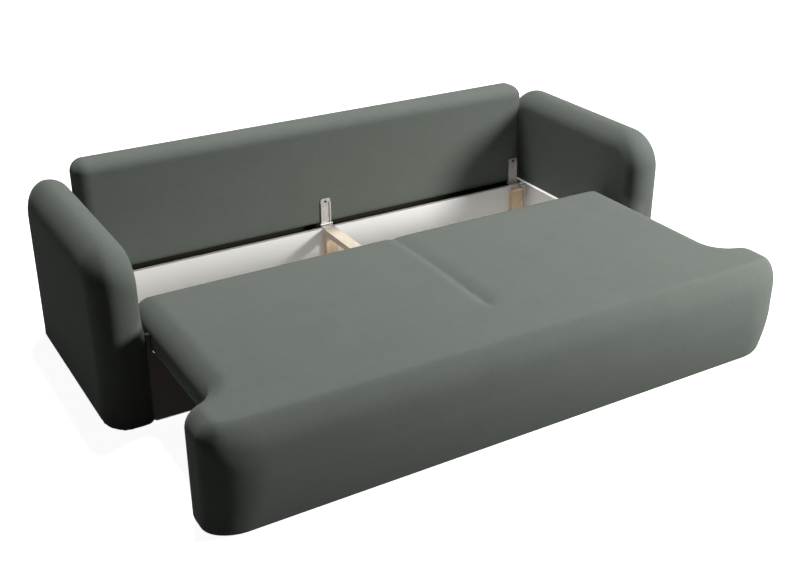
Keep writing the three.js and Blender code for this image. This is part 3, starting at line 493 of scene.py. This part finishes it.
WING_BLEND = 30 * MM      # height over which it grows from one to the other
WING_STEP = 12 * MM       # set-back of a wing's rear
WING_STEP_WIDTH = 76 * MM

SEAT_LOW, SEAT_HIGH = box_of("seat_cushion")
BUMP_LOW, BUMP_HIGH = box_of("bumper_cushion")
SEAT_EDGE_TOP = BUMP_HIGH[2] + SEAT_LIFT
BUMP_FRONT = BUMP_LOW[1] + FRONT_EASE
BUMP_REAR = BUMP_HIGH[1] - FRONT_EASE
BUMP_HALF = BUMP_HIGH[0]
SEAT_FRONT = SEAT_LOW[1] - SEAT_OVERLAP
SEAT_SIDE = SEAT_HIGH[0] + SEAT_SWELL
FRONT_BOARD_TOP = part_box("front_board")[1][2]


def seat_top(x, y):
    """Height of the sleeping surface, with its crown and its centre crease."""
    across = 1 - np.clip(np.abs(x) / SEAT_HIGH[0], 0, 1) ** CROWN_POWER
    along = np.clip((y - SEAT_LOW[1]) / (SEAT_HIGH[1] - SEAT_LOW[1]), 0, 1)
    crown = SEAT_CROWN * across * np.sin(along * math.pi)
    half = np.where(x < 0, CREASE_LEFT, CREASE_RIGHT)
    side = np.clip(1 - np.abs(x) / half, 0, 1) ** 2
    fade = soft_step((y - CREASE_FRONT) / CREASE_FADE)
    depth = CREASE_FRONT_DEPTH + (CREASE_REAR_DEPTH - CREASE_FRONT_DEPTH) * along
    return SEAT_EDGE_TOP + crown - depth * side * fade


def seat_plan(x, y, z):
    """The mattress seen from above, down to its underside."""
    low = np.clip((SEAT_LOW[2] + SEAT_DRAW_HEIGHT - z) / SEAT_DRAW_HEIGHT, 0, 1)
    draw = SEAT_DRAW * (1 - np.sqrt(1 - (low * DRAW_SHARE) ** 2))
    side = np.abs(x) - (SEAT_SIDE - draw)
    plan = meet(side, y - SEAT_HIGH[1], SEAT_CORNER)
    plan = np.maximum(plan, SEAT_FRONT - y)
    return meet(plan, SEAT_LOW[2] - z, SEAT_BOTTOM_ROUND)


def front_share(x, y):
    """1 along the front, 0 at the ends and behind, and in between round the corners."""
    out = np.maximum(np.abs(x) - (BUMP_HALF - CORNER_SPREAD * CORNER_HIGH), 0) / CORNER_SPREAD
    ahead = np.maximum(BUMP_FRONT + CORNER_HIGH - y, 0)
    nearness = np.clip(ahead / CORNER_HIGH, 0, 1)
    past = END_WEIGHT * (out / CORNER_HIGH) ** 2 + ROUND_BLEND ** 2
    return nearness ** 2 / (nearness ** 2 + past)


def bumper_plan(x, y, z):
    """The bumper and its wings seen from above, with the front tucked in below."""
    out = np.abs(x)
    below = np.clip((BULGE_HEIGHT - z) / (BULGE_HEIGHT - BUMP_LOW[2]), 0, 1)
    corner = CORNER_HIGH + (CORNER_LOW - CORNER_HIGH) * below
    front = BUMP_FRONT + TUCK * below ** TUCK_POWER
    past = out - SEAT_HIGH[0]
    setback = WING_STEP * soft_step(past / WING_STEP_WIDTH)
    plan = meet(front - y, (out - BUMP_HALF) / CORNER_SPREAD, corner)
    plan = plan * (CORNER_SPREAD + (1 - CORNER_SPREAD) * front_share(x, y))
    return meet(plan, y - (BUMP_REAR - setback), REAR_CORNER)


def seat_edge(x, y):
    """The upper edge's radius, wide along the front, and how much taller than wide it is."""
    front = front_share(x, y)
    wing_share = soft_step((np.abs(x) - SEAT_HIGH[0]) / WING_TOP_WIDTH)
    side = SEAT_ROUND + (END_ROUND - SEAT_ROUND) * wing_share
    stretch = 1 + (SEAT_ROUND_DROP / SEAT_ROUND - 1) * (1 - wing_share) * (1 - front)
    return side + (FRONT_ROUND - side) * front, stretch


def seat_pocket(x, y, z):
    """The space for the boards and rails under the cover."""
    _, deck_high = box_of("seat_deck")
    front_low, _ = box_of("bumper_front_board")
    _, rail_high = box_of("seat_rail_rear")
    top = deck_high[2] + POCKET_PLAY
    half = deck_high[0] + POCKET_PLAY
    under_seat = block_field(
        x, y, z,
        (-half, front_low[1], POCKET_DEPTH),
        (half, rail_high[1] + POCKET_PLAY, top))
    half = -front_low[0] + POCKET_PLAY
    under_bumper = block_field(
        x, y, z,
        (-half, front_low[1] - POCKET_PLAY, POCKET_DEPTH),
        (half, BUMP_HIGH[1] + POCKET_PLAY, top))
    return np.minimum(under_seat, under_bumper)


def seat_field(x, y, z):
    """The mattress and the bumper as one form, hollowed for their boards."""
    above = soft_step((z - FRONT_BOARD_TOP) / WING_BLEND)
    fillet = WING_FILLET_LOW + (WING_FILLET - WING_FILLET_LOW) * above
    plan = join(seat_plan(x, y, z), bumper_plan(x, y, z), fillet)
    radius, stretch = seat_edge(x, y)
    form = meet(plan, (z - seat_top(x, y)) / stretch, radius)
    at_end = soft_step((np.abs(x) - SEAT_HIGH[0]) / (BUMP_HALF - SEAT_HIGH[0]))
    foot = FOOT_ROUND + (END_FOOT_ROUND - FOOT_ROUND) * at_end
    form = meet(form, BUMP_LOW[2] - z, foot)
    return meet(form, -seat_pocket(x, y, z), POCKET_ROUND)


def sharpen_crease(mesh):
    """Lays the column of points next to the middle of the seat on the crease's bottom line."""
    points = points_of(mesh)
    on_top = (points[:, 2] > SEAT_EDGE_TOP - SEAT_ROUND) & (points[:, 1] > CREASE_FRONT)
    near = on_top & (np.abs(points[:, 0]) < VOXEL / 2)
    points[near, 0] = 0
    points[near] = drawn_onto(seat_field, points[near], CREASE_ROUNDS)
    points[near, 0] = 0
    set_points(mesh, points)


def add_seat():
    boxes = [(SEAT_LOW, SEAT_HIGH), (BUMP_LOW, BUMP_HIGH)]
    piece = soft_piece("seat_upholstery", boxes, seat_field, VOXEL)
    sharpen_crease(piece.data)
    finish_soft(piece, "seat", "seat_cushion", "bumper_cushion")


# Arms: rounded covers over their frame boards

ARM_OUTER_ROUND = 77 * MM
ARM_OUTER_DROP = 110 * MM # height of the outer rounding
ARM_INNER_ROUND = 73 * MM
ARM_INNER_LOW = 34 * MM   # tighter beside the front board
ARM_LOW_FROM = 0.31       # height where it starts to widen
ARM_LOW_TO = 0.40         # height where it has its full width
ARM_FRONT_ROUND = 149 * MM
ARM_REAR_ROUND = 147 * MM
ARM_LEAN = 4 * MM
ARM_FOOT_ROUND = 3 * MM
ARM_CROWN = 1.5 * MM
ARM_CROWN_INSET = 170 * MM
ARM_SWELL = 3 * MM        # the filled cover stands this proud of its outer side
ARM_FRONT_EASE = 9 * MM   # and lies this far inside its front
ARM_TOP_EASE = 3 * MM


def arm_field(side):
    """The field of the right or the left arm, by its sign."""
    name = "right" if side > 0 else "left"
    low, high = box_of(f"arm_cover_{name}")
    inner = min(abs(low[0]), abs(high[0])) + ARM_CROWN
    outer = max(abs(low[0]), abs(high[0])) - ARM_CROWN + ARM_SWELL
    front, top = low[1] + ARM_FRONT_EASE, high[2] - ARM_TOP_EASE

    def field(x, y, z):
        out = x * side
        lean = ARM_LEAN * np.clip((z - low[2]) / (top - low[2]), 0, 1)
        front_top = meet(front - y, z - top, ARM_FRONT_ROUND)
        rear_top = meet(y - high[1], z - top, ARM_REAR_ROUND)
        outline = np.maximum(front_top, rear_top)
        swell = ARM_CROWN * (1 - (1 - np.clip(-outline / ARM_CROWN_INSET, 0, 1)) ** 2)
        above = soft_step((z - ARM_LOW_FROM) / (ARM_LOW_TO - ARM_LOW_FROM))
        inner_round = ARM_INNER_LOW + (ARM_INNER_ROUND - ARM_INNER_LOW) * above
        form = meet(outline, inner - swell - out, inner_round)
        form = form * ARM_OUTER_ROUND / ARM_OUTER_DROP
        form = meet(form, out - (outer + swell - lean), ARM_OUTER_ROUND)
        form = meet(form, low[2] - z, ARM_FOOT_ROUND)
        return meet(form, -board_pocket(x, y, z, f"arm_frame_{name}"), POCKET_ROUND)

    return field


def add_arm(side):
    name = "right" if side > 0 else "left"
    box = box_of(f"arm_cover_{name}")
    piece = soft_piece(f"arm_upholstery_{name}", [box], arm_field(side), VOXEL)
    finish_soft(piece, "base", f"arm_cover_{name}")


# Backrest

BACK_ROUND = 52 * MM
BACK_FOOT_ROUND = 12 * MM
BACK_FRONT_CROWN = 5 * MM
BACK_REAR_CROWN = 4 * MM
BACK_LEVEL_MARGIN = 4 * MM # flat front above the hinge leaves

BACK_LOW, BACK_HIGH = box_of("backrest_cushion")
LEAF_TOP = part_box("hinge_leaf_centre")[1][2]


def back_field(x, y, z):
    """The backrest, with every upper edge and corner rounded alike."""
    half = BACK_HIGH[0]
    level = LEAF_TOP + BACK_LEVEL_MARGIN
    height = np.clip((z - level) / (BACK_HIGH[2] - BACK_ROUND - level), 0, 1)
    swell = np.sin(height * math.pi) * (1 - np.clip(np.abs(x) / half, 0, 1) ** CROWN_POWER)
    front = BACK_LOW[1] + BACK_FRONT_CROWN * (1 - swell)
    rear = BACK_HIGH[1] - BACK_REAR_CROWN * (1 - swell)
    past = [np.abs(x) - half, np.maximum(front - y, y - rear), z - BACK_HIGH[2]]
    over = [np.maximum(part + BACK_ROUND, 0) for part in past]
    length = np.sqrt(over[0] ** 2 + over[1] ** 2 + over[2] ** 2)
    form = np.minimum(np.max(past, axis=0), -BACK_ROUND) + length
    form = meet(form, BACK_LOW[2] - z, BACK_FOOT_ROUND)
    return meet(form, -board_pocket(x, y, z, "backrest_board"), POCKET_ROUND)


def add_backrest():
    piece = soft_piece("backrest_upholstery", [(BACK_LOW, BACK_HIGH)], back_field, VOXEL)
    finish_soft(piece, "backrest", "backrest_cushion")


# Rear cover: a padded panel that closes the back of the box

REAR_ROUND = 8 * MM
REAR_CROWN = 3 * MM
REAR_CROWN_POWER = 6
REAR_EDGE_ROUND = 2 * MM  # where it lies against the box
REAR_LOW, REAR_HIGH = box_of("rear_cover")


def rear_field(x, y, z):
    across = 1 - np.clip(np.abs(x) / REAR_HIGH[0], 0, 1) ** REAR_CROWN_POWER
    height = np.clip((z - REAR_LOW[2]) / (REAR_HIGH[2] - REAR_LOW[2]), 0, 1)
    swell = across * np.sin(height * math.pi)
    outline = meet(np.abs(x) - REAR_HIGH[0], z - REAR_HIGH[2], REAR_ROUND)
    outline = meet(outline, REAR_LOW[2] - z, REAR_ROUND)
    form = meet(outline, y - (REAR_HIGH[1] - REAR_CROWN * (1 - swell)), REAR_ROUND)
    return meet(form, REAR_LOW[1] - y, REAR_EDGE_ROUND)


def add_rear_cover():
    piece = soft_piece("rear_upholstery", [(REAR_LOW, REAR_HIGH)], rear_field, VOXEL)
    finish_soft(piece, "base", "rear_cover")


# Hard pieces: eased edges and their materials

SLOT_OF = {row["node"]: row["material_slot"] for row in frame["record"]["subparts"]}
EDGE_WIDTHS = {"laminate": 0.6 * MM, "dark_board": 0.6 * MM, "pine": 1.2 * MM, "chipboard": 0.6 * MM,
               "steel": 0.5 * MM, "dark_steel": 0.5 * MM, "nylon": 1.0 * MM, "black_plastic": 0.6 * MM}
EDGE_SEGMENTS = 2
EDGE_ANGLE = 40           # edges sharper than this are eased, in degrees


def eased(target, width):
    modifier = target.modifiers.new("Eased edges", "BEVEL")
    modifier.width = width
    modifier.segments = EDGE_SEGMENTS
    modifier.limit_method = "ANGLE"
    modifier.angle_limit = math.radians(EDGE_ANGLE)


def grain_of(name):
    """Pine grain runs along a piece's longest side."""
    low, high = box_of(name)
    return "pine_" + "xyz"[int(np.argmax(high - low))]


def dress_hard_pieces():
    for name, target in frame["nodes"].items():
        slot = SLOT_OF[name]
        if slot == "fabric":
            continue
        # Slots come from the record. The rear rail's dark_board slot is painted shade: it makes the gap
        # above the box's rear panel, under the backrest, near-black.
        key = grain_of(name) if slot == "pine" else slot
        target.data.materials.clear()
        target.data.materials.append(MATERIALS[key])
        eased(target, EDGE_WIDTHS[slot])


# Studio: camera, lights, floor and surroundings

CAMERA_PLACE = (-1.9646, -3.257, 2.115)
CAMERA_DOWN = 26.34       # degrees below the horizon
CAMERA_HEADING = 30.68    # degrees from the rear towards the right
CAMERA_LENS = 51.0        # millimetres, on a sensor of the width below
CAMERA_SENSOR = 36
KEY_AIM = (0.8, 0.3, 0.45)
KEY_HEADING = 33.4        # degrees from the front towards the right
KEY_UP = 17.6             # degrees above the horizon
KEY_DISTANCE = 3.9
KEY_SIZE = 0.9
KEY_POWER = 198
OVERHEAD_PLACE = (0.45, 1.6, 6.5)
OVERHEAD_AIM = (0, 0, 0.2)
OVERHEAD_SIZE = 1.6
OVERHEAD_POWER = 492
AMBIENT = 0.018
WHITE = (1, 1, 1)
FLOOR_HALF = 30.0
FLOOR_GLOW_NEAR = 0.94    # under the sofa, where its shadow falls
FLOOR_GLOW_FAR = 1.0
SHADOW_REACH = (1.4, 2.8)
FLOOR_SEEN = grey(0.8)    # the floor's grey to the camera
FLOOR_UNSEEN = grey(0.12) # and to the light that it throws back on the sofa


def add_camera():
    data = bpy.data.cameras.new("camera")
    data.lens = CAMERA_LENS
    data.sensor_width = CAMERA_SENSOR
    camera = bpy.data.objects.new("camera", data)
    camera.location = CAMERA_PLACE
    camera.rotation_euler = Euler(
        (math.radians(90 - CAMERA_DOWN), 0, math.radians(-CAMERA_HEADING)))
    bpy.context.scene.collection.objects.link(camera)
    bpy.context.scene.camera = camera


def add_area_light(name, place, aim, size, power):
    data = bpy.data.lights.new(name, "AREA")
    data.shape = "DISK"
    data.size = size
    data.energy = power
    light = bpy.data.objects.new(name, data)
    light.location = place
    light.rotation_euler = (Vector(aim) - Vector(place)).to_track_quat("-Z", "Y").to_euler()
    bpy.context.scene.collection.objects.link(light)


def add_lights():
    heading, up = math.radians(KEY_HEADING), math.radians(KEY_UP)
    direction = Vector(
        (math.sin(heading) * math.cos(up), -math.cos(heading) * math.cos(up), math.sin(up)))
    key_place = Vector(KEY_AIM) + direction * KEY_DISTANCE
    add_area_light("key", key_place, KEY_AIM, KEY_SIZE, KEY_POWER)
    add_area_light("overhead", OVERHEAD_PLACE, OVERHEAD_AIM, OVERHEAD_SIZE, OVERHEAD_POWER)


def seen_plainly(tree):
    """1 for rays from the camera, from gloss and through glass, otherwise 0."""
    path = node(tree, "ShaderNodeLightPath").outputs
    first = node(tree, "ShaderNodeMath", {0: path["Is Camera Ray"], 1: path["Is Glossy Ray"]},
                 operation="MAXIMUM").outputs[0]
    return node(tree, "ShaderNodeMath", {0: first, 1: path["Is Transmission Ray"]},
                operation="MAXIMUM").outputs[0]


def add_world():
    world = bpy.data.worlds.new("studio")
    bpy.context.scene.world = world
    tree = tree_of(world)
    white = node(tree, "ShaderNodeBackground", {"Color": colour(WHITE), "Strength": 1.0})
    dim = node(tree, "ShaderNodeBackground", {"Color": colour(WHITE), "Strength": AMBIENT})
    both = node(tree, "ShaderNodeMixShader",
                {0: seen_plainly(tree), 1: dim.outputs[0], 2: white.outputs[0]})
    output = node(tree, "ShaderNodeOutputWorld")
    tree.links.new(both.outputs[0], output.inputs["Surface"])


def add_floor():
    """A wide pale floor: white to the camera apart from the sofa's shadow."""
    half = FLOOR_HALF
    verts = [(-half, -half, 0), (half, -half, 0), (half, half, 0), (-half, half, 0)]
    floor = new_object("floor", verts, [(0, 1, 2, 3)])
    material = bpy.data.materials.new("floor")
    tree = tree_of(material)
    place = node(tree, "ShaderNodeTexCoord").outputs["Object"]
    away = node(tree, "ShaderNodeVectorMath", {0: place}, operation="LENGTH").outputs["Value"]
    strength = node(tree, "ShaderNodeMapRange", {
        "Value": away, "From Min": SHADOW_REACH[0], "From Max": SHADOW_REACH[1],
        "To Min": FLOOR_GLOW_NEAR, "To Max": FLOOR_GLOW_FAR}).outputs[0]
    glow = node(tree, "ShaderNodeEmission", {"Color": colour(WHITE), "Strength": strength})
    pale = node(tree, "ShaderNodeBsdfDiffuse", {"Color": colour(FLOOR_SEEN)})
    shown = node(tree, "ShaderNodeAddShader", {0: glow.outputs[0], 1: pale.outputs[0]})
    plain = node(tree, "ShaderNodeBsdfDiffuse", {"Color": colour(FLOOR_UNSEEN)})
    both = node(tree, "ShaderNodeMixShader",
                {0: seen_plainly(tree), 1: plain.outputs[0], 2: shown.outputs[0]})
    output = node(tree, "ShaderNodeOutputMaterial")
    tree.links.new(both.outputs[0], output.inputs["Surface"])
    floor.data.materials.append(material)


def set_colours():
    bpy.context.scene.view_settings.view_transform = "Standard"


add_camera()
add_lights()
add_world()
add_floor()
set_colours()
add_seat()
for arm_side in (-1, 1):
    add_arm(arm_side)
add_backrest()
add_rear_cover()
dress_hard_pieces()
